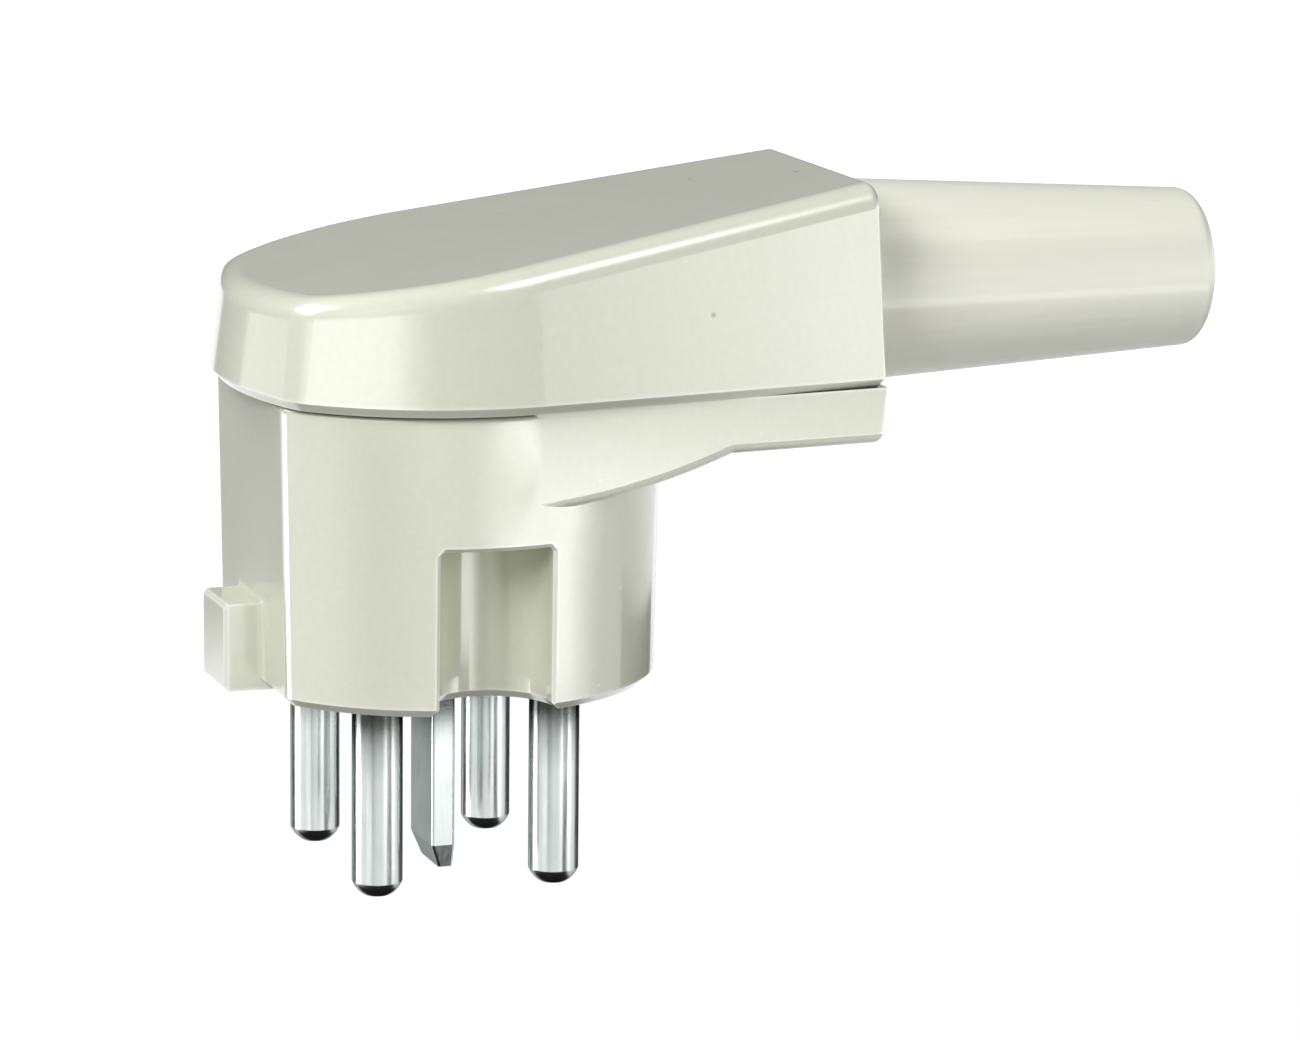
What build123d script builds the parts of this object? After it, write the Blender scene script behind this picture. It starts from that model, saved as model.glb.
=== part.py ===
from build123d import *
from math import acos, atan2, cos, hypot, radians, sin, tan
import os

# An angled (side-entry) five-pin three-phase plug. Millimetres, +Z up.
# The origin is the centre of the collar's pin face. The pins point to -Z and the cable leaves to +X.

# Pins
pin_diameter = 5.0
pin_length = 19.5
pin_spacing_x = 18.1
pin_spacing_y = 22.6
pin_tip_height = 1.4
pin_tip_flat = 1.3
pin_neck_step = 0.2
blade_thickness = 2.4
blade_width = 7.6
blade_length = 19.6
blade_tip_height = 2.4
blade_land_thickness = 1.5
blade_land_width = 6.0
blade_edge_round = 0.3
shoulder_height = 2.0
pin_shoulder_radius = 4.3
earth_shoulder_width = 5.0
earth_shoulder_length = 10.0
earth_shoulder_round = 1.5
pin_barrel_radius = 3.6
earth_barrel_radius = 4.0
barrel_height = 9.0
wire_hole_radius = 1.9
wire_hole_lift = 3.2
guard_thickness = 0.4
guard_width = 2.5
guard_lift = 0.9
guard_lip = 1.3

# Collar of the base
collar_radius = 22.0
collar_flat = 18.4
collar_draft = 0.95
collar_corner_round = 2.0
parting_height = 29.5
face_edge = 0.8
base_wall = 2.5
floor_thickness = 5.0

# Arm of the base
arm_end = 41.1
arm_half_width = 17.8
arm_bottom = 23.9
arm_root_x = 4.0
arm_root_z = 19.5
arm_bend_x = 24.5
arm_bend_sag = 0.75
arm_end_draft = 5.0
arm_floor = 2.4
arm_edge_round = 1.1
arm_sink = 0.05

# Side grooves and guide rib
groove_width = 11.3
groove_back = 13.7
groove_height = 16.2
groove_wall = 2.0
groove_edge = 0.4
rib_reach = 4.1
rib_width = 8.4
rib_height = 8.7
rib_edge = 0.4
rib_root_round = 0.7

# Cover
cover_overhang = 1.9
cover_end_overhang = 0.25
nose_overhang = 3.2
nose_bulge_radius = 45.0
nose_corner_round = 7.0
cover_draft = 7.5
cover_end_draft = 0.5
cover_wall = 3.0
cover_roof = 2.4
roof_height = 42.83
roof_slope = 9.1
cover_edge_round = 2.6
cover_end_round = 1.0
cover_lip_edge = 0.9
lip_wall = 1.2
lip_height = 2.0
end_wall = 2.8

# Cable sleeve
sleeve_axis_z = 37.5
sleeve_bore_radius = 5.6
sleeve_root_radius = 10.4
sleeve_tip_radius = 8.05
sleeve_tip_x = 81.0
sleeve_tip_round = 1.4
sleeve_mouth_edge = 0.5
sleeve_neck_radius = 7.2
sleeve_flange_radius = 8.2
sleeve_flange_thickness = 1.2
tongue_half_width = 9.6

# Contact carrier
carrier_thickness = 4.0
carrier_screw_y = 8.8
barrier_thickness = 1.4
barrier_height = 7.0
barrier_start = 5.4
barrier_end = 17.0

# Cover fixing
column_inset = 4.4
column_radius = 3.4
long_screw_seat = 2.8
arm_screw_setback = 14.5
arm_screw_inset = 5.5
arm_screw_seat = 2.7
arm_boss_radius = 4.3
post_radius = 3.4
cover_bush_radius = 2.5
cover_bush_length = 7.0
cover_screw_grip = 6.0
bore_runout = 1.0

# Cord grip
clamp_setback = 8.0
clamp_width = 5.4
clamp_post_y = 10.5
clamp_post_radius = 3.0
clamp_post_top = 36.5
clamp_bar = 2.0
clamp_arch_drop = 0.5
clamp_arch_radius = 5.9
clamp_foot_end = 13.4
cradle_half_width = 7.9
cradle_thickness = 4.4
cradle_top = 34.0
clamp_bush_radius = 2.2
clamp_bush_length = 6.0
clamp_screw_grip = 7.0

# Screws
terminal_shank, terminal_head, terminal_head_height, terminal_slot = 1.95, 3.1, 2.3, 0.9
carrier_shank, carrier_head, carrier_head_height, carrier_slot = 1.45, 2.5, 1.7, 0.8
clamp_shank, clamp_head, clamp_head_height, clamp_slot = 1.45, 2.6, 2.0, 0.8
cover_shank, cover_head, cover_head_height, cover_slot = 1.7, 2.7, 2.2, 0.9
carrier_screw_depth = 3.6
washer_thickness = 0.7
screw_edge = 0.3

# Fits
thread_clearance = 0.05
slip = 0.15
seat_gap = 0.3

# How far a cutting tool runs past what it cuts
past = 1.0
far_past = 6.0

# Places worked out from the sizes above
draft_rise = tan(radians(collar_draft))
rim_radius = collar_radius + parting_height * draft_rise
cover_radius = rim_radius + cover_overhang
cover_nose = collar_flat + nose_overhang
far_end = arm_end + far_past
carrier_top = floor_thickness + carrier_thickness
barrel_top = carrier_top + barrel_height
wire_hole_z = carrier_top + wire_hole_lift
guard_z = wire_hole_z - guard_lift
arm_floor_z = arm_bottom + arm_floor
pin_x = pin_spacing_x / 2
pin_y = pin_spacing_y / 2
pin_neck_radius = pin_diameter / 2 + pin_neck_step
shoulder_z = floor_thickness - shoulder_height
column_x = column_inset - collar_flat
arm_screw_x = arm_end - arm_screw_setback
arm_screw_y = arm_half_width - arm_screw_inset
clamp_x = arm_end - clamp_setback
pin_places = [(-pin_x, -pin_y), (pin_x, -pin_y), (pin_x, pin_y), (-pin_x, pin_y)]
arm_screw_places = [(arm_screw_x, -arm_screw_y), (arm_screw_x, arm_screw_y)]
clamp_places = [(clamp_x, -clamp_post_y), (clamp_x, clamp_post_y)]
carrier_screw_places = [(0, -carrier_screw_y), (0, carrier_screw_y)]
cover_fixings = [(column_x, 0), *arm_screw_places]
end_rise = (sleeve_axis_z + sleeve_flange_radius - parting_height) * tan(radians(cover_end_draft))
flange_x = arm_end - end_wall - end_rise - slip - sleeve_flange_thickness


def upright(radius, place, low, high):
    """A plain cylinder along Z between two heights."""
    return Pos(place[0], place[1], low) * extrude(Circle(radius), high - low)


def block(x_range, y_range, z_range):
    """A plain box between three pairs of limits."""
    size = [high - low for low, high in (x_range, y_range, z_range)]
    centre = [(high + low) / 2 for low, high in (x_range, y_range, z_range)]
    return Pos(*centre) * Box(*size)


def along_cable(radius, low, high):
    """A plain cylinder on the cable's axis between two places along X."""
    return Pos(low, 0, sleeve_axis_z) * Rot(0, 90, 0) * extrude(Circle(radius), high - low)


def keep_inside(solid, point, normal):
    """Cut off what lies beyond a plane, on the side that its normal points to."""
    return split(solid, Plane(origin=point, z_dir=normal), keep=Keep.BOTTOM)


def side_lean(radius, half_width):
    """The arm side's angle to the X axis in plan, where it touches the round and meets the end."""
    turn = atan2(half_width, arm_end) + acos(radius / hypot(arm_end, half_width))
    return radians(90) - turn


base_lean = side_lean(rim_radius, arm_half_width)
cover_lean = side_lean(cover_radius, arm_half_width + cover_end_overhang)


# Base


def underside_tool(lift):
    """Everything under the arm: its edge runs in an arc from the collar to the flat part."""
    root = (arm_root_x, arm_root_z + lift)
    start = (-collar_radius, root[1])
    bend = (arm_bend_x, arm_bottom + lift)
    middle = ((root[0] + bend[0]) / 2, (root[1] + bend[1]) / 2 - arm_bend_sag)
    far = (far_end + far_past, arm_bottom + lift)
    low = arm_root_z - 2 * far_past
    edge = [
        Line(start, root),
        ThreePointArc(root, middle, bend),
        Line(bend, far),
        Line(far, (far[0], low)),
        Line((far[0], low), (start[0], low)),
        Line((start[0], low), start),
    ]
    return extrude(Plane.XZ * make_face(edge), 2 * rim_radius, both=True)


def collar_form(inset, low, high):
    """The collar between two heights: a cone with a flat on its -X side, both drafted alike."""
    low_radius = collar_radius + low * draft_rise - inset
    high_radius = collar_radius + high * draft_rise - inset
    cone = Pos(0, 0, (low + high) / 2) * Cone(low_radius, high_radius, high - low)
    draft = radians(collar_draft)
    return keep_inside(cone, (inset - collar_flat, 0, 0), (-cos(draft), 0, -sin(draft)))


def arm_form(inset, low, high, lift, end_inset):
    """The arm between two heights: drafted sides that grow out of the collar, an end and an underside."""
    reach = rim_radius - inset - arm_sink
    touch = (reach * sin(base_lean), reach * cos(base_lean))
    body = block((touch[0], far_end), (-rim_radius, rim_radius), (low, high))
    draft = radians(collar_draft)
    for side in (1, -1):
        normal = (sin(base_lean) * cos(draft), side * cos(base_lean) * cos(draft), -sin(draft))
        body = keep_inside(body, (touch[0], side * touch[1], parting_height), normal)
    lean = radians(arm_end_draft)
    body = keep_inside(body, (arm_end - end_inset, 0, parting_height), (cos(lean), 0, -sin(lean)))
    if low < arm_bottom + lift:
        body -= underside_tool(lift)
    return body


def base_form(inset, low, high, lift, end_inset):
    """The base's whole outline, inset by a wall."""
    arm_low = max(low, arm_root_z - far_past)
    return collar_form(inset, low, high) + arm_form(inset, arm_low, high, lift, end_inset)


def groove(side, grow, height):
    """The U-shaped guide groove on one side of the collar, grown by a wall for the material round it."""
    radius = groove_width / 2 + grow
    centre_y = groove_back + groove_width / 2
    outline = Pos(0, centre_y) * Circle(radius)
    outline += Pos(0, centre_y + radius) * Rectangle(2 * radius, 2 * radius)
    tool = Pos(0, 0, -past) * extrude(outline, height + past)
    return tool if side > 0 else mirror(tool, Plane.XZ)


def guide_rib():
    """The short rib low on the collar's flat."""
    reach = (-collar_flat - rib_reach, past - collar_flat)
    body = block(reach, (-rib_width / 2, rib_width / 2), (0, rib_height))
    return chamfer(body.edges().group_by(Axis.X)[0], rib_edge)


def on_groove_mouth(edge):
    """Whether an edge of the collar runs round the mouth of a side groove."""
    middle = edge.center()
    near_groove = abs(middle.X) < groove_width / 2 + slip and middle.Z < groove_height + slip
    return near_groove and abs(middle.Y) > groove_back + groove_width / 2 and middle.Z > face_edge


def outer_base():
    """The base without its cavity, with its rounded edges."""
    collar = collar_form(0, 0, parting_height)
    corners = collar.edges().filter_by(lambda e: e.bounding_box().size.Z > parting_height / 2)
    collar = fillet([e for e in corners if e.center().X < -past], collar_corner_round)
    for side in (1, -1):
        collar -= groove(side, 0, groove_height)
    collar = chamfer(collar.faces().sort_by(Axis.Z)[0].edges(), face_edge)
    collar = chamfer(collar.edges().filter_by(on_groove_mouth), groove_edge)
    arm = arm_form(0, arm_root_z - far_past, parting_height, 0, 0)
    low_edges = arm.edges().filter_by(lambda e: arm_root_z - past < e.center().Z < arm_bottom + past)
    low_edges = low_edges.filter_by(lambda e: abs(e.center().Y) > past or e.center().X > arm_bend_x)
    body = collar + guide_rib()
    roots = body.edges().filter_by(lambda e: abs(e.center().X + collar_flat) < rib_root_round)
    roots = roots.filter_by(lambda e: abs(e.center().Y) < rib_width / 2 + slip and e.center().Z > face_edge)
    return fillet(roots, rib_root_round) + fillet(low_edges, arm_edge_round)


def base_cavity():
    """The hollow of the base, which leaves its columns, bosses and the walls round the grooves standing."""
    cavity = base_form(base_wall, floor_thickness, parting_height, arm_floor, end_wall)
    for side in (1, -1):
        cavity -= groove(side, groove_wall, groove_height + groove_wall)
    cavity -= upright(column_radius, (column_x, 0), floor_thickness, parting_height)
    for place in arm_screw_places:
        cavity -= upright(arm_boss_radius, place, arm_floor_z - past, parting_height)
    return cavity


def locating_lip():
    """The lip on the rim that centres the cover, open where the sleeve and the cover's posts stand."""
    top = parting_height + lip_height
    lip = base_form(base_wall, parting_height - past, top, 0, end_wall)
    lip -= base_form(base_wall + lip_wall, parting_height - 2 * past, top + past, 0, end_wall + lip_wall)
    lip -= block((clamp_x, far_end), (-tongue_half_width, tongue_half_width), (arm_bottom, top + past))
    for place in cover_fixings:
        lip -= upright(post_radius + seat_gap, place, parting_height, top + past)
    return lip


def cord_cradle():
    """The lower half of the cord grip: two posts and the curved rest between them."""
    low = arm_floor_z - past
    half = cradle_thickness / 2
    width = (-cradle_half_width, cradle_half_width)
    rest = block((clamp_x - half, clamp_x + half), width, (low, cradle_top))
    rest -= along_cable(sleeve_bore_radius, clamp_x - half - past, clamp_x + half + past)
    for place in clamp_places:
        rest += upright(clamp_post_radius, place, low, clamp_post_top)
    for place in clamp_places:
        rest -= upright(clamp_bush_radius, place, clamp_post_top - clamp_bush_length, clamp_post_top)
        low_bore = clamp_post_top - clamp_screw_grip - bore_runout
        rest -= upright(clamp_shank + slip, place, low_bore, clamp_post_top)
    return rest


def make_base():
    """The base: collar, arm, floor with pin holes, columns, cord cradle, lip and the sleeve's lower seat."""
    base = outer_base() - base_cavity()
    base += locating_lip() + cord_cradle()
    base += cover_shell() & sleeve_tongue(0)
    for place in pin_places:
        base -= upright(pin_neck_radius + slip, place, -past, floor_thickness)
        base -= upright(pin_shoulder_radius + slip, place, shoulder_z, floor_thickness)
    slot = RectangleRounded(blade_thickness + 2 * slip, blade_width + 2 * slip, blade_edge_round)
    base -= Pos(0, 0, -past) * extrude(slot, floor_thickness + past)
    width = earth_shoulder_width + 2 * slip
    pocket = RectangleRounded(width, earth_shoulder_length + 2 * slip, earth_shoulder_round)
    base -= Pos(0, 0, shoulder_z) * extrude(pocket, shoulder_height)
    for place in carrier_screw_places:
        low = floor_thickness - carrier_screw_depth
        base -= upright(carrier_shank + thread_clearance, place, low, floor_thickness)
    base -= upright(cover_head + slip, (column_x, 0), -past, long_screw_seat)
    base -= upright(cover_shank + slip, (column_x, 0), 0, parting_height + past)
    for place in arm_screw_places:
        base -= upright(cover_head + slip, place, arm_bottom - 2 * past, arm_bottom + arm_screw_seat)
        base -= upright(cover_shank + slip, place, arm_bottom, parting_height + past)
    base -= along_cable(sleeve_neck_radius + slip, arm_end - 2 * end_wall, far_end)
    return base


# Cover


def arm_sector(low, high):
    """The room over the arm, between the two upright planes where its sides touch the round part."""
    sector = block((0, far_end), (-2 * cover_radius, 2 * cover_radius), (low, high))
    for side in (1, -1):
        sector = keep_inside(sector, (0, 0, low), (-cos(cover_lean), side * sin(cover_lean), 0))
    return sector


def cover_sides(inset, low, high):
    """The part of the cover over the arm: drafted flat sides that run smoothly into the round part."""
    reach = cover_radius - inset
    sides = arm_sector(low, high)
    draft = radians(cover_draft)
    for side in (1, -1):
        across = side * cos(cover_lean)
        normal = (sin(cover_lean) * cos(draft), across * cos(draft), sin(draft))
        sides = keep_inside(sides, (reach * sin(cover_lean), reach * across, low), normal)
    return sides


def cover_form(inset, roof_inset, end_inset):
    """The cover's outer shape, or its hollow: drafted walls and a bulging nose under a sloping roof."""
    rise = 2 * (roof_height - parting_height)
    shrink = rise * tan(radians(cover_draft))
    radius = cover_radius - inset
    bulge = nose_bulge_radius - inset
    middle = parting_height + rise / 2
    top = parting_height + rise
    form = Pos(0, 0, middle) * Cone(radius, radius - shrink, rise) - arm_sector(parting_height, top)
    form += cover_sides(inset, parting_height, top)
    form &= Pos(nose_bulge_radius - cover_nose, 0, middle) * Cone(bulge, bulge - shrink, rise)
    lean = radians(cover_end_draft)
    form = keep_inside(form, (arm_end - end_inset, 0, parting_height), (cos(lean), 0, sin(lean)))
    slope = radians(roof_slope)
    return keep_inside(form, (0, 0, roof_height - roof_inset), (-sin(slope), 0, cos(slope)))


def outer_cover():
    """The cover without its hollow, with its rounded edges."""
    form = cover_form(0, 0, 0)
    corners = form.edges().filter_by(lambda e: e.center().X < -cover_nose / 2 and abs(e.center().Y) > past)
    corners = corners.filter_by(lambda e: e.bounding_box().size.Z > cover_edge_round)
    form = fillet(corners, nose_corner_round)
    roof = form.faces().sort_by(Axis.Z)[-1]
    form = fillet(roof.edges().sort_by(Axis.X)[:-1], cover_edge_round)
    end = form.faces().sort_by(Axis.X)[-1]
    form = fillet(end.edges().sort_by(Axis.Z)[1:], cover_end_round)
    low = form.faces().sort_by(Axis.Z)[0]
    return chamfer(low.edges(), cover_lip_edge)


def cover_shell():
    """The hollow cover before its end is cut open for the sleeve."""
    return outer_cover() - cover_form(cover_wall, cover_roof, end_wall)


def sleeve_tongue(grow):
    """The part of the cover's end wall that belongs to the base, so that the sleeve is held all round."""
    half = tongue_half_width + grow
    return block((clamp_x, far_end), (-half, half), (parting_height, sleeve_axis_z + grow))


def cover_posts_zone():
    """Where the cover's posts stand, which the rabbet for the lip leaves alone."""
    zone = Part()
    for place in cover_fixings:
        zone += upright(post_radius, place, parting_height - 2 * past, roof_height)
    return zone


def make_cover():
    """The cover: a hollow wedge with posts for the screws, open at its end for the sleeve."""
    cover = cover_shell() - sleeve_tongue(slip)
    top = roof_height + far_end * sin(radians(roof_slope))
    room = cover_form(cover_wall / 2, cover_roof / 2, end_wall / 2)
    for place in cover_fixings:
        cover += upright(post_radius, place, parting_height, top) & room
    for place in cover_fixings:
        cover -= upright(cover_bush_radius, place, parting_height, parting_height + cover_bush_length)
        bore_end = parting_height + cover_bush_length + bore_runout
        cover -= upright(cover_shank + slip, place, parting_height, bore_end)
    rabbet_top = parting_height + lip_height + seat_gap
    rabbet = base_form(base_wall - slip, parting_height - past, rabbet_top, 0, end_wall - slip)
    cover -= rabbet - cover_posts_zone()
    cover -= along_cable(sleeve_neck_radius + slip, arm_end - 2 * end_wall, far_end)
    return cover


# Cable sleeve


def make_sleeve():
    """The tapered sleeve: a flange inside the end wall, a neck through it and a body against the end."""
    length = sleeve_tip_x - arm_end
    cone = Pos(arm_end + length / 2, 0, sleeve_axis_z) * Rot(0, 90, 0)
    body = cone * Cone(sleeve_root_radius, sleeve_tip_radius, length)
    root_slope = (sleeve_root_radius - sleeve_tip_radius) / length
    stub = Pos(arm_end - past, 0, sleeve_axis_z) * Rot(0, 90, 0)
    body += stub * Cone(sleeve_root_radius + 2 * past * root_slope, sleeve_root_radius, 2 * past)
    body = fillet(body.faces().sort_by(Axis.X)[-1].edges(), sleeve_tip_round)
    lean = radians(cover_end_draft)
    shoulder = Plane(origin=(arm_end + slip, 0, parting_height), z_dir=(cos(lean), 0, sin(lean)))
    body = split(body, shoulder, keep=Keep.TOP)
    flange_end = flange_x + sleeve_flange_thickness
    body += along_cable(sleeve_neck_radius, flange_x, arm_end + past)
    body += along_cable(sleeve_flange_radius, flange_x, flange_end)
    body -= along_cable(sleeve_bore_radius, flange_x - past, sleeve_tip_x + past)
    mouth = body.edges().filter_by(GeomType.CIRCLE).group_by(Axis.X)[-1]
    return chamfer(mouth.sort_by(SortBy.RADIUS)[0], sleeve_mouth_edge)


# Contacts


def barrel(radius):
    """A terminal barrel above the shoulder, with its screw hole and its wire hole."""
    body = upright(radius, (0, 0), floor_thickness, barrel_top)
    body -= upright(terminal_shank + thread_clearance, (0, 0), guard_z, barrel_top)
    wire_hole = Pos(0, 0, wire_hole_z) * Rot(0, 90, 0) * Cylinder(wire_hole_radius, 4 * radius)
    return body - wire_hole


def tip_dome():
    """The round end of a pin: a ball on its axis, cut off flat, which meets the shank at a slight edge."""
    radius = pin_diameter / 2
    depth = ((radius**2 - pin_tip_flat**2) / pin_tip_height - pin_tip_height) / 2
    ball_z = pin_tip_height - pin_length + depth
    ball = Pos(0, 0, ball_z) * Sphere(hypot(radius, depth))
    return ball & upright(radius, (0, 0), -pin_length, pin_tip_height - pin_length)


def make_pin():
    """A round pin turned in one piece with its neck, its shoulder and its terminal barrel."""
    pin = tip_dome() + upright(pin_diameter / 2, (0, 0), pin_tip_height - pin_length, 0)
    pin += upright(pin_neck_radius, (0, 0), 0, shoulder_z)
    pin += upright(pin_shoulder_radius, (0, 0), shoulder_z, floor_thickness)
    return pin + barrel(pin_barrel_radius)


def make_blade():
    """The earth blade, its tip bevelled on one broad side and on both edges, its shoulder and its barrel."""
    section = RectangleRounded(blade_thickness, blade_width, blade_edge_round)
    land_x = (blade_thickness - blade_land_thickness) / 2
    land = Pos(land_x, 0) * RectangleRounded(blade_land_thickness, blade_land_width, blade_edge_round)
    tip_z = blade_tip_height - blade_length
    blade = Pos(0, 0, tip_z) * extrude(section, shoulder_z - tip_z)
    blade += loft([Pos(0, 0, tip_z) * section, Pos(0, 0, -blade_length) * land], ruled=True)
    shoulder = RectangleRounded(earth_shoulder_width, earth_shoulder_length, earth_shoulder_round)
    blade += Pos(0, 0, shoulder_z) * extrude(shoulder, shoulder_height)
    return blade + barrel(earth_barrel_radius)


def make_guard(radius):
    """The thin leaf between the terminal screw and the wire, turned up at both ends outside the barrel."""
    reach = radius + slip + guard_thickness
    half = guard_width / 2
    low = guard_z - guard_thickness
    leaf = block((-reach, reach), (-half, half), (low, guard_z))
    for side in (1, -1):
        inner, outer = sorted((side * (reach - guard_thickness), side * reach))
        leaf += block((inner, outer), (-half, half), (low, low + guard_lip))
    return leaf


def make_carrier():
    """The insulating plate that holds the shoulders down, with barriers between the terminals."""
    carrier = collar_form(base_wall + seat_gap, floor_thickness, carrier_top)
    for side in (1, -1):
        carrier -= groove(side, groove_wall + seat_gap, barrel_top)
    barrier = (-barrier_thickness / 2, barrier_thickness / 2)
    barrier_z = (carrier_top, carrier_top + barrier_height)
    carrier += block((barrier_start, barrier_end), barrier, barrier_z)
    carrier += block((column_x, -barrier_start), barrier, barrier_z)
    carrier -= upright(column_radius + seat_gap, (column_x, 0), 0, barrel_top)
    for place in pin_places:
        carrier -= upright(pin_barrel_radius + slip, place, 0, barrel_top)
    carrier -= upright(earth_barrel_radius + slip, (0, 0), 0, barrel_top)
    for place in carrier_screw_places:
        carrier -= upright(carrier_shank + slip, place, 0, barrel_top)
    return carrier


# Fasteners and the cord grip


def screw(shank, head, head_height, slot, length):
    """A slotted cheese-head screw with its head on top, seated at the origin."""
    body = upright(head, (0, 0), 0, head_height)
    body = chamfer(body.edges().group_by(Axis.Z)[-1], screw_edge)
    body -= block((-slot / 2, slot / 2), (-2 * head, 2 * head), (head_height / 2, head_height + past))
    pin = upright(shank, (0, 0), -length, 0)
    return body + chamfer(pin.edges().group_by(Axis.Z)[0], screw_edge)


def bush(radius, bore, length):
    """A threaded bush with its mouth at the origin and its body above."""
    return upright(radius, (0, 0), 0, length) - upright(bore, (0, 0), -past, length + past)


def washer(shank, outer):
    """A plain washer under a screw head, on the origin."""
    hole = upright(shank + slip, (0, 0), -past, washer_thickness + past)
    return upright(outer, (0, 0), 0, washer_thickness) - hole


def group(piece, places, z, flip=False):
    """Copies of one fastener at each place, with the head down where flipped."""
    turn = Rot(180, 0, 0) if flip else Rot(0, 0, 0)
    return Compound(children=[Pos(x, y, z) * turn * piece for x, y in places])


def make_saddle():
    """The upper half of the cord grip: a bar with two feet and an arch over the cord."""
    centre_z = clamp_post_top - clamp_arch_drop
    arch = Pos(0, centre_z) * Circle(clamp_arch_radius + clamp_bar)
    feet = Pos(0, clamp_post_top + clamp_bar / 2) * Rectangle(2 * clamp_foot_end, clamp_bar)
    profile = arch + feet - Pos(0, centre_z) * Circle(clamp_arch_radius)
    profile -= Pos(0, clamp_post_top - clamp_foot_end) * Rectangle(4 * clamp_foot_end, 2 * clamp_foot_end)
    saddle = Pos(clamp_x, 0, 0) * extrude(Plane.YZ * profile, clamp_width / 2, both=True)
    for place in clamp_places:
        saddle -= upright(clamp_shank + slip, place, 0, roof_height)
    return saddle


def make_all():
    """Every piece of the plug under its node name."""
    pieces = {
        "base_housing": make_base(),
        "cover": make_cover(),
        "cable_sleeve": make_sleeve(),
        "contact_carrier": make_carrier(),
        "earth_blade": make_blade(),
        "clamp_saddle": make_saddle(),
    }
    pin = make_pin()
    for name, (x, y) in zip(("phase_pin_1", "phase_pin_2", "phase_pin_3", "neutral_pin"), pin_places):
        pieces[name] = Pos(x, y, 0) * pin

    pin_guard = make_guard(pin_barrel_radius)
    pieces["wire_guards"] = group(pin_guard, pin_places, 0)
    pieces["earth_wire_guard"] = make_guard(earth_barrel_radius)
    length = barrel_top - guard_z
    terminal = screw(terminal_shank, terminal_head, terminal_head_height, terminal_slot, length)
    pieces["terminal_screws"] = group(terminal, pin_places, barrel_top)
    pieces["earth_terminal_screw"] = Pos(0, 0, barrel_top) * terminal

    length = carrier_thickness + carrier_screw_depth - seat_gap
    fixing = screw(carrier_shank, carrier_head, carrier_head_height, carrier_slot, length)
    pieces["carrier_screws"] = group(fixing, carrier_screw_places, carrier_top)

    clamp_seat = clamp_post_top + clamp_bar + washer_thickness
    length = clamp_seat - clamp_post_top + clamp_screw_grip
    grip_screw = screw(clamp_shank, clamp_head, clamp_head_height, clamp_slot, length)
    pieces["clamp_screws"] = group(grip_screw, clamp_places, clamp_seat)
    grip_washer = washer(clamp_shank, clamp_head)
    pieces["clamp_washers"] = group(grip_washer, clamp_places, clamp_post_top + clamp_bar)
    grip_bush = bush(clamp_bush_radius, clamp_shank + thread_clearance, clamp_bush_length)
    pieces["clamp_bushes"] = group(grip_bush, clamp_places, clamp_post_top - clamp_bush_length)

    reach = parting_height + cover_screw_grip
    long_screw = screw(cover_shank, cover_head, cover_head_height, cover_slot, reach - long_screw_seat)
    pieces["cover_screw_long"] = Pos(column_x, 0, long_screw_seat) * Rot(180, 0, 0) * long_screw
    arm_seat = arm_bottom + arm_screw_seat
    short_screw = screw(cover_shank, cover_head, cover_head_height, cover_slot, reach - arm_seat)
    pieces["cover_screws_short"] = group(short_screw, arm_screw_places, arm_seat, flip=True)
    cover_bush = bush(cover_bush_radius, cover_shank + thread_clearance, cover_bush_length)
    pieces["cover_bushes"] = group(cover_bush, cover_fixings, parting_height)
    return pieces


os.makedirs("parts", exist_ok=True)
for name, piece in make_all().items():
    export_step(piece, f"parts/{name}.step")
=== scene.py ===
from math import cos, pi, radians, sin

import bpy
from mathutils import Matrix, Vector


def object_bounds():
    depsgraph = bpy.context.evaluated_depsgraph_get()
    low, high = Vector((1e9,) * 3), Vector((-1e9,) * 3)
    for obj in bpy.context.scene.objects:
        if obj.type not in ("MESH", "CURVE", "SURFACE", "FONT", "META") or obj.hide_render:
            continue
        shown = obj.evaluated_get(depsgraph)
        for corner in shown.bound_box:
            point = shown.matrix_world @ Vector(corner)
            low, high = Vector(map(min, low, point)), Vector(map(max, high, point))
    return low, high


# An angled five-pin three-phase plug in a white studio. Metres, in the row's frame.

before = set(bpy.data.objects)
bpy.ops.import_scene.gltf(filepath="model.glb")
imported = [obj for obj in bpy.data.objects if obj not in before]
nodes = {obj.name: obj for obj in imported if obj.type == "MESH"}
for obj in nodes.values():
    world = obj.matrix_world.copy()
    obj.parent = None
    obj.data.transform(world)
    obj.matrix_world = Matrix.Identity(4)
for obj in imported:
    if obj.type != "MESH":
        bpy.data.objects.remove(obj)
cad_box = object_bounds()

mm = 0.001

# Camera, with its turn in degrees and its lens and sensor in millimetres
camera_place = (-0.153926, -0.509418, 0.119447)
camera_turn = (78.912, -0.599, -19.009)
camera_lens = 151.335
sensor_width = 36.0
nearest_seen = 0.01

# Colours, linear
# The deep colours also serve for painted shade in hollows, the light ones for a painted
# highlight along edges
ivory = (0.735, 0.757, 0.630)
ivory_deep = (0.585, 0.612, 0.470)
ivory_light = (0.930, 0.935, 0.880)
# Painted shade in creases and between parts
crease_shade_colour = (0.120, 0.130, 0.085)
fleck_dark = (0.180, 0.185, 0.140)
# Painted shade at the roots of the metal parts
root_shade_colour = (0.050, 0.055, 0.050)
sleeve_white = (0.845, 0.855, 0.745)
sleeve_deep = (0.620, 0.642, 0.500)
nickel = (0.600, 0.640, 0.625)
nickel_deep = (0.430, 0.465, 0.460)
nickel_edge = (0.300, 0.330, 0.320)
steel = (0.560, 0.565, 0.570)
steel_deep = (0.330, 0.335, 0.340)
brass = (0.780, 0.600, 0.280)
brass_deep = (0.520, 0.370, 0.150)
phenolic = (0.160, 0.110, 0.080)
phenolic_deep = (0.110, 0.075, 0.055)
phenolic_light = (0.240, 0.180, 0.140)
floor_pale = (0.42, 0.42, 0.41)
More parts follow.
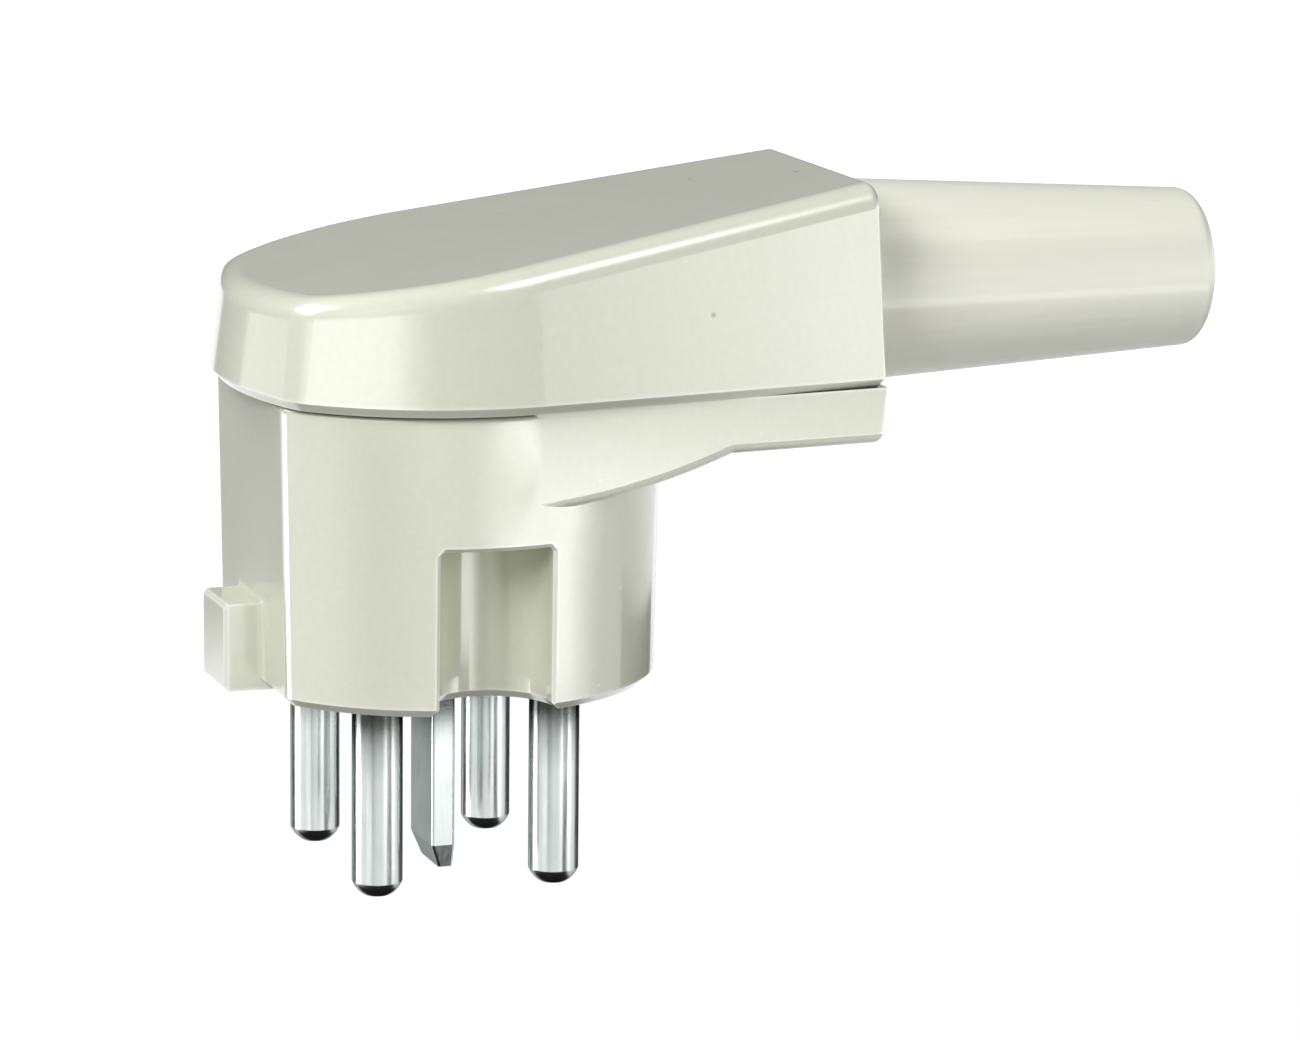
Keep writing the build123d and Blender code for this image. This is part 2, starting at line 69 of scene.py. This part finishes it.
floor_dull = (0.40, 0.40, 0.39)
card_dark = (0.010, 0.010, 0.010)
card_pale = (0.020, 0.020, 0.020)
white = (1.0, 1.0, 1.0)

# How far the marks are drawn out along X, Y and Z: a smaller number makes a longer streak
even = (1, 1, 1)
along_sleeve = (0.04, 1, 1)
along_pins = (1, 1, 0.05)

# Marks on the plastics, painted shade and a painted edge highlight among them
plastic_index = 1.55
coat_roughness = 0.07
cloud_size = 30 * mm
mottle_size = 0.7 * mm
smear_size = 14 * mm
peel_size = 0.45 * mm
peel_height = 0.012 * mm
shade_reach = 12 * mm
crease_shade_reach = 1.6 * mm
edge_highlight_width = 0.55 * mm

# Marks on the metals, painted shade at the roots among them
tarnish_size = 5 * mm
line_size = 0.25 * mm
line_height = 0.008 * mm
line_strength = 0.04
root_shade_reach = 8 * mm

# How far the roughness strays to either side of its plain value
smoother, rougher = 0.03, 0.05


# Shader nodes


def link(tree, source, target):
    """Join two sockets."""
    tree.links.new(source, target)


def node(tree, kind, **values):
    """A new node with its settings and plain inputs."""
    made = tree.nodes.new(kind)
    for key, value in values.items():
        if hasattr(made, key):
            setattr(made, key, value)
        else:
            made.inputs[key].default_value = value
    return made


def new_material(name):
    """A new material, its node tree and its principled shader."""
    made = bpy.data.materials.new(name)
    made.use_nodes = True
    tree = made.node_tree
    tree.nodes.clear()
    shader = node(tree, "ShaderNodeBsdfPrincipled")
    output = node(tree, "ShaderNodeOutputMaterial")
    link(tree, shader.outputs["BSDF"], output.inputs["Surface"])
    return made, tree, shader


def noise(tree, place, size, detail, stretch=even):
    """Noise whose features are about size metres across, as a 0 to 1 value."""
    mapping = node(tree, "ShaderNodeMapping", Scale=stretch)
    link(tree, place.outputs["Object"], mapping.inputs["Vector"])
    made = node(tree, "ShaderNodeTexNoise", Scale=1 / size, Detail=detail)
    link(tree, mapping.outputs["Vector"], made.inputs["Vector"])
    return made.outputs["Fac"]


def ramp(tree, value, low, high, low_out=0.0, high_out=1.0):
    """Map a value from one range to another, held at both ends."""
    made = node(tree, "ShaderNodeMapRange")
    made.inputs["From Min"].default_value = low
    made.inputs["From Max"].default_value = high
    made.inputs["To Min"].default_value = low_out
    made.inputs["To Max"].default_value = high_out
    link(tree, value, made.inputs["Value"])
    return made.outputs["Result"]


def scaled(tree, value, share):
    """A 0 to 1 value brought down to a share of itself, or up to a multiple."""
    return ramp(tree, value, 0.0, 1.0, high_out=share)


def maths(tree, operation, *values):
    """One maths node on one or two values."""
    made = node(tree, "ShaderNodeMath", operation=operation)
    for slot, value in enumerate(values):
        link(tree, value, made.inputs[slot])
    return made.outputs[0]


def blend_colour(tree, share, first, second):
    """Mix two colours, each a tuple or a socket, by a share."""
    factor_slot, first_slot, second_slot, result_slot = 0, 6, 7, 2
    made = node(tree, "ShaderNodeMix", data_type="RGBA")
    link(tree, share, made.inputs[factor_slot])
    for slot, colour in ((first_slot, first), (second_slot, second)):
        if isinstance(colour, tuple):
            made.inputs[slot].default_value = (*colour, 1)
        else:
            link(tree, colour, made.inputs[slot])
    return made.outputs[result_slot]


def open_share(tree, reach):
    """How open a surface is to its surroundings within a reach, one in the open."""
    return node(tree, "ShaderNodeAmbientOcclusion", samples=8, Distance=reach).outputs["AO"]


def edge_mask(tree, width):
    """One along the edges that stand out, nought on flat ground and in corners."""
    flat, sharp = 0.999, 0.95
    tucked_in, stands_out = 0.70, 0.90
    geometry = node(tree, "ShaderNodeNewGeometry")
    bevel = node(tree, "ShaderNodeBevel", samples=6, Radius=width)
    dot = node(tree, "ShaderNodeVectorMath", operation="DOT_PRODUCT")
    link(tree, geometry.outputs["Normal"], dot.inputs[0])
    link(tree, bevel.outputs["Normal"], dot.inputs[1])
    outside = ramp(tree, open_share(tree, 2 * width), tucked_in, stands_out)
    return maths(tree, "MULTIPLY", ramp(tree, dot.outputs["Value"], flat, sharp), outside)


def flecks(tree, place, spacing, radius, share):
    """Small round flecks in a share of the cells of a loose net, one inside a fleck."""
    outer, inner = 1.4 * radius / spacing, 0.6 * radius / spacing
    cells = node(tree, "ShaderNodeTexVoronoi", Scale=1 / spacing)
    link(tree, place.outputs["Object"], cells.inputs["Vector"])
    lot = node(tree, "ShaderNodeSeparateColor")
    link(tree, cells.outputs["Color"], lot.inputs["Color"])
    drawn = ramp(tree, lot.outputs["Red"], share + 0.01, share)
    return maths(tree, "MULTIPLY", ramp(tree, cells.outputs["Distance"], outer, inner), drawn)


def bump(tree, shader, height, strength, distance):
    """Raise a shader's surface by a height value of 0 to 1 over a distance in metres."""
    made = node(tree, "ShaderNodeBump", Strength=strength, Distance=distance)
    link(tree, height, made.inputs["Height"])
    link(tree, made.outputs["Normal"], shader.inputs["Normal"])


def vary_roughness(tree, shader, value, low, high, roughness):
    """Let a value carry the roughness to either side of its plain value."""
    strayed = ramp(tree, value, low, high, roughness - smoother, roughness + rougher)
    link(tree, strayed, shader.inputs["Roughness"])


def matte_white_glow(shader, roughness):
    """Take the shine off a shader and make what it gives out white."""
    shader.inputs["Roughness"].default_value = roughness
    shader.inputs["Specular IOR Level"].default_value = 0.0
    shader.inputs["Emission Color"].default_value = (*white, 1)


# Materials of the plug


def plastic(name, main, deep, light, roughness, coat, peel, stretch=even):
    """Moulded plastic: clouding, fine mottling and flecks, with painted shade in hollows and
    creases and a painted highlight along edges.
    """
    made, tree, shader = new_material(name)
    place = node(tree, "ShaderNodeTexCoord")
    cloud = noise(tree, place, cloud_size, 1.0)
    mottle = noise(tree, place, mottle_size, 3.0, stretch)
    # Painted shade: the colour deepens where the surface is closed in, as under the arm and in
    # the groove
    shade = ramp(tree, open_share(tree, shade_reach), 0.95, 0.35, high_out=0.45)
    dark_flecks = flecks(tree, place, spacing=9 * mm, radius=0.27 * mm, share=0.60)
    pale_flecks = flecks(tree, place, spacing=3.4 * mm, radius=0.14 * mm, share=0.30)
    # Painted shade: a dark line in creases and between parts, such as under the cover's lip
    painted_crease_shade = ramp(tree, open_share(tree, crease_shade_reach), 0.62, 0.30)
    colour = blend_colour(tree, ramp(tree, cloud, 0.25, 0.75, high_out=0.12), main, deep)
    colour = blend_colour(tree, ramp(tree, mottle, 0.30, 0.75, high_out=0.16), colour, deep)
    colour = blend_colour(tree, shade, colour, deep)
    colour = blend_colour(tree, scaled(tree, dark_flecks, 0.7), colour, fleck_dark)
    colour = blend_colour(tree, scaled(tree, pale_flecks, 0.5), colour, light)
    # Painted highlight: a pale line along the edges that stand out
    colour = blend_colour(tree, scaled(tree, edge_mask(tree, edge_highlight_width), 0.9), colour, light)
    colour = blend_colour(tree, painted_crease_shade, colour, crease_shade_colour)
    link(tree, colour, shader.inputs["Base Color"])
    smear = noise(tree, place, smear_size, 2.0, stretch)
    vary_roughness(tree, shader, smear, 0.25, 0.75, roughness)
    shader.inputs["IOR"].default_value = plastic_index
    shader.inputs["Coat Weight"].default_value = coat
    shader.inputs["Coat Roughness"].default_value = coat_roughness
    bump(tree, shader, noise(tree, place, peel_size, 2.0), peel, peel_height)
    return made


def metal(name, main, deep, roughness, edge=white, stretch=even):
    """Plated or drawn metal: fine draw lines, cloudy tarnish and painted shade at the roots."""
    made, tree, shader = new_material(name)
    place = node(tree, "ShaderNodeTexCoord")
    tarnish = noise(tree, place, tarnish_size, 4.0)
    lines = noise(tree, place, line_size, 2.0, stretch)
    # Painted shade: the colour goes nearly black where the metal is closed in, as at the roots
    # of the pins
    painted_root_shade = ramp(tree, open_share(tree, root_shade_reach), 0.96, 0.76)
    colour = blend_colour(tree, ramp(tree, tarnish, 0.4, 0.8, high_out=0.4), main, deep)
    colour = blend_colour(tree, ramp(tree, lines, 0.4, 0.7, high_out=0.15), colour, deep)
    colour = blend_colour(tree, painted_root_shade, colour, root_shade_colour)
    link(tree, colour, shader.inputs["Base Color"])
    vary_roughness(tree, shader, lines, 0.3, 0.7, roughness)
    shader.inputs["Metallic"].default_value = 1.0
    shader.inputs["Specular Tint"].default_value = (*edge, 1)
    bump(tree, shader, lines, line_strength, line_height)
    return made


housing_plastic = plastic(
    "ivory_moulding", ivory, ivory_deep, ivory_light, roughness=0.20, coat=1.0, peel=0.2
)
sleeve_plastic = plastic(
    "ivory_sleeve",
    sleeve_white,
    sleeve_deep,
    ivory_light,
    roughness=0.38,
    coat=0.3,
    peel=0.4,
    stretch=along_sleeve,
)
carrier_plastic = plastic(
    "brown_phenolic", phenolic, phenolic_deep, phenolic_light, roughness=0.5, coat=0.0, peel=0.5
)
pin_metal = metal(
    "nickel_plate", nickel, nickel_deep, roughness=0.20, edge=nickel_edge, stretch=along_pins
)
screw_metal = metal("zinc_steel", steel, steel_deep, roughness=0.34)
brass_metal = metal("brass", brass, brass_deep, roughness=0.3)

finishes = {
    housing_plastic: ("base_housing", "cover"),
    sleeve_plastic: ("cable_sleeve",),
    carrier_plastic: ("contact_carrier", "clamp_saddle"),
    pin_metal: ("phase_pin_1", "phase_pin_2", "phase_pin_3", "neutral_pin", "earth_blade"),
    screw_metal: (
        "terminal_screws",
        "earth_terminal_screw",
        "carrier_screws",
        "clamp_screws",
        "clamp_washers",
        "cover_screw_long",
        "cover_screws_short",
    ),
    brass_metal: ("wire_guards", "earth_wire_guard", "clamp_bushes", "cover_bushes"),
}
for finish, names in finishes.items():
    for name in names:
        mesh = nodes[name].data
        mesh.materials.clear()
        mesh.materials.append(finish)


# Studio objects


def add_object(name, data):
    """A new object with that data, linked to the scene."""
    made = bpy.data.objects.new(name, data)
    bpy.context.scene.collection.objects.link(made)
    return made


def flat_plane(name, width, depth, material):
    """A level plane round its own centre."""
    mesh = bpy.data.meshes.new(name)
    corners = [(-1, -1), (1, -1), (1, 1), (-1, 1)]
    points = [(x * width / 2, y * depth / 2, 0) for x, y in corners]
    mesh.from_pydata(points, [], [(0, 1, 2, 3)])
    mesh.materials.append(material)
    return add_object(name, mesh)


def put_round_plug(thing, aim, azimuth, elevation, distance):
    """Put a lamp or card square to its aim, at angles in degrees from +X and from level."""
    turn, rise = radians(azimuth), radians(elevation)
    away = Vector((cos(rise) * cos(turn), cos(rise) * sin(turn), sin(rise)))
    thing.location = Vector(aim) + distance * away
    thing.rotation_euler = away.to_track_quat("Z", "Y").to_euler()


# Floor, far enough below the pins to leave room for the cards that they mirror

floor_drop = 0.15
floor_level = cad_box[0][2] - floor_drop
floor_width = 16.0
cloud_on_floor = 0.2
near_lift, far_lift = 0.70, 1.0
near_end, far_start = 0.3, 1.2


def seen_directly(tree):
    """One for camera, glossy and transmission rays, nought for the diffuse rays."""
    path = node(tree, "ShaderNodeLightPath")
    total = path.outputs["Is Camera Ray"]
    for name in ("Is Glossy Ray", "Is Transmission Ray"):
        total = maths(tree, "MAXIMUM", total, path.outputs[name])
    return total


def floor_material():
    """Pale table: it keeps the plug's soft shadow and is lifted to white where it is seen."""
    made, tree, shader = new_material("pale_table")
    place = node(tree, "ShaderNodeTexCoord")
    cloud = noise(tree, place, cloud_on_floor, 2.0)
    colour = blend_colour(tree, ramp(tree, cloud, 0.3, 0.8), floor_pale, floor_dull)
    link(tree, colour, shader.inputs["Base Color"])
    matte_white_glow(shader, roughness=0.9)
    away = node(tree, "ShaderNodeVectorMath", operation="LENGTH")
    link(tree, place.outputs["Object"], away.inputs[0])
    lift = ramp(tree, away.outputs["Value"], near_end, far_start, near_lift, far_lift)
    glow = maths(tree, "MULTIPLY", seen_directly(tree), lift)
    link(tree, glow, shader.inputs["Emission Strength"])
    return made


floor = flat_plane("floor", floor_width, floor_width, floor_material())
floor.location = (0, 0, floor_level)


# Lamps, which light the plug and don't show in its reflections

lamp_aim = (0.025, 0.0, 0.015)


def soft_box(name, azimuth, elevation, distance, size, level):
    """A lamp round the plug. Level is how bright it makes a white card that faces it."""
    data = bpy.data.lights.new(name, "AREA")
    data.shape = "RECTANGLE"
    data.size, data.size_y = size
    data.energy = level * pi**2 * distance**2
    lamp = add_object(name, data)
    put_round_plug(lamp, lamp_aim, azimuth, elevation, distance)
    lamp.visible_glossy = False


soft_box("key_left", -142, 30, 0.8, (0.35, 0.35), level=0.66)
soft_box("fill_right", -55, 12, 0.8, (0.70, 0.50), level=0.33)
soft_box("roof_light", 140, 56, 0.9, (0.50, 0.35), level=0.50)


# Cards, which show in the plug's reflections and don't light it otherwise

card_aim = (0.0, 0.0, -0.010)
card_grain = 20 * mm


def card_material(name, size, glow, soft):
    """A dark card with a white glow, which fades away over the outer, soft share of its size."""
    made, tree, shader = new_material(name)
    place = node(tree, "ShaderNodeTexCoord")
    grain = noise(tree, place, card_grain, 2.0)
    link(tree, blend_colour(tree, grain, card_dark, card_pale), shader.inputs["Base Color"])
    matte_white_glow(shader, roughness=1.0)
    axes = node(tree, "ShaderNodeSeparateXYZ")
    link(tree, place.outputs["Object"], axes.inputs[0])
    fades = []
    for axis, reach in zip("XY", (size[0] / 2, size[1] / 2)):
        off_centre = maths(tree, "ABSOLUTE", axes.outputs[axis])
        fades.append(ramp(tree, off_centre, reach, reach * (1 - soft)))
    cover = maths(tree, "MULTIPLY", *fades)
    link(tree, scaled(tree, cover, glow), shader.inputs["Emission Strength"])
    clear = node(tree, "ShaderNodeBsdfTransparent")
    mix = node(tree, "ShaderNodeMixShader")
    link(tree, cover, mix.inputs[0])
    link(tree, clear.outputs[0], mix.inputs[1])
    link(tree, shader.outputs[0], mix.inputs[2])
    link(tree, mix.outputs[0], tree.nodes["Material Output"].inputs["Surface"])
    return made


def card(name, azimuth, elevation, distance, size, glow, soft=0.5):
    """A studio card round the plug, of a width and a height, that only reflections show."""
    made = flat_plane(name, *size, card_material(name, size, glow, soft))
    put_round_plug(made, card_aim, azimuth, elevation, distance)
    for kind in ("camera", "diffuse", "shadow"):
        setattr(made, "visible_" + kind, False)


# Bright bands on the cover and the edges of its roof
card("nose_glow", -146, 8, 0.60, (1.10, 0.34), glow=3.2, soft=0.6)
card("wall_glow", -15, 6, 0.45, (0.90, 0.24), glow=3.6, soft=0.34)
card("nose_edge_glow", 160, 42, 0.50, (0.40, 0.30), glow=8.0)
card("roof_edge_glow", -58, 58, 0.50, (0.35, 0.34), glow=9.0, soft=0.8)

# Bands on the collar and its flat
card("collar_left_glow", 160, -9, 0.30, (0.22, 0.10), glow=11.0)
card("collar_right_glow", -50, -8.5, 0.30, (0.56, 0.08), glow=6.0, soft=0.7)
card("collar_shade", -134, -8, 0.32, (0.30, 0.12), glow=0.0, soft=0.9)
card("flat_shade", 111, 4.3, 0.40, (0.18, 0.22), glow=0.28, soft=0.12)

# Bands on the pins and their tips
card("pin_glow", -142, -14, 0.15, (0.08, 0.03), glow=1.6, soft=0.3)
card("pin_dark_line", -54, -13.5, 0.20, (0.090, 0.044), glow=0.0, soft=0.2)
card("pin_dark_left", 137, -13.5, 0.25, (0.14, 0.050), glow=0.0, soft=0.1)
card("pin_dark_right", 24, -13.5, 0.25, (0.19, 0.050), glow=0.0, soft=0.1)
card("under_plug", 0, -90, 0.13, (0.24, 0.24), glow=0.0, soft=0.15)


# World

room_level = 0.23


def make_world():
    """Even light from all round."""
    world = bpy.data.worlds.new("studio")
    world.use_nodes = True
    tree = world.node_tree
    tree.nodes.clear()
    background = node(tree, "ShaderNodeBackground", Color=(*white, 1), Strength=room_level)
    output = node(tree, "ShaderNodeOutputWorld")
    link(tree, background.outputs["Background"], output.inputs["Surface"])
    bpy.context.scene.world = world


make_world()


# Camera


def make_camera():
    """The camera at the photo's viewing angle."""
    data = bpy.data.cameras.new("camera")
    data.sensor_fit = "HORIZONTAL"
    data.sensor_width = sensor_width
    data.lens = camera_lens
    data.clip_start = nearest_seen
    camera = add_object("camera", data)
    camera.location = camera_place
    camera.rotation_euler = [radians(angle) for angle in camera_turn]
    bpy.context.scene.camera = camera


make_camera()
bpy.context.scene.view_settings.view_transform = "Standard"
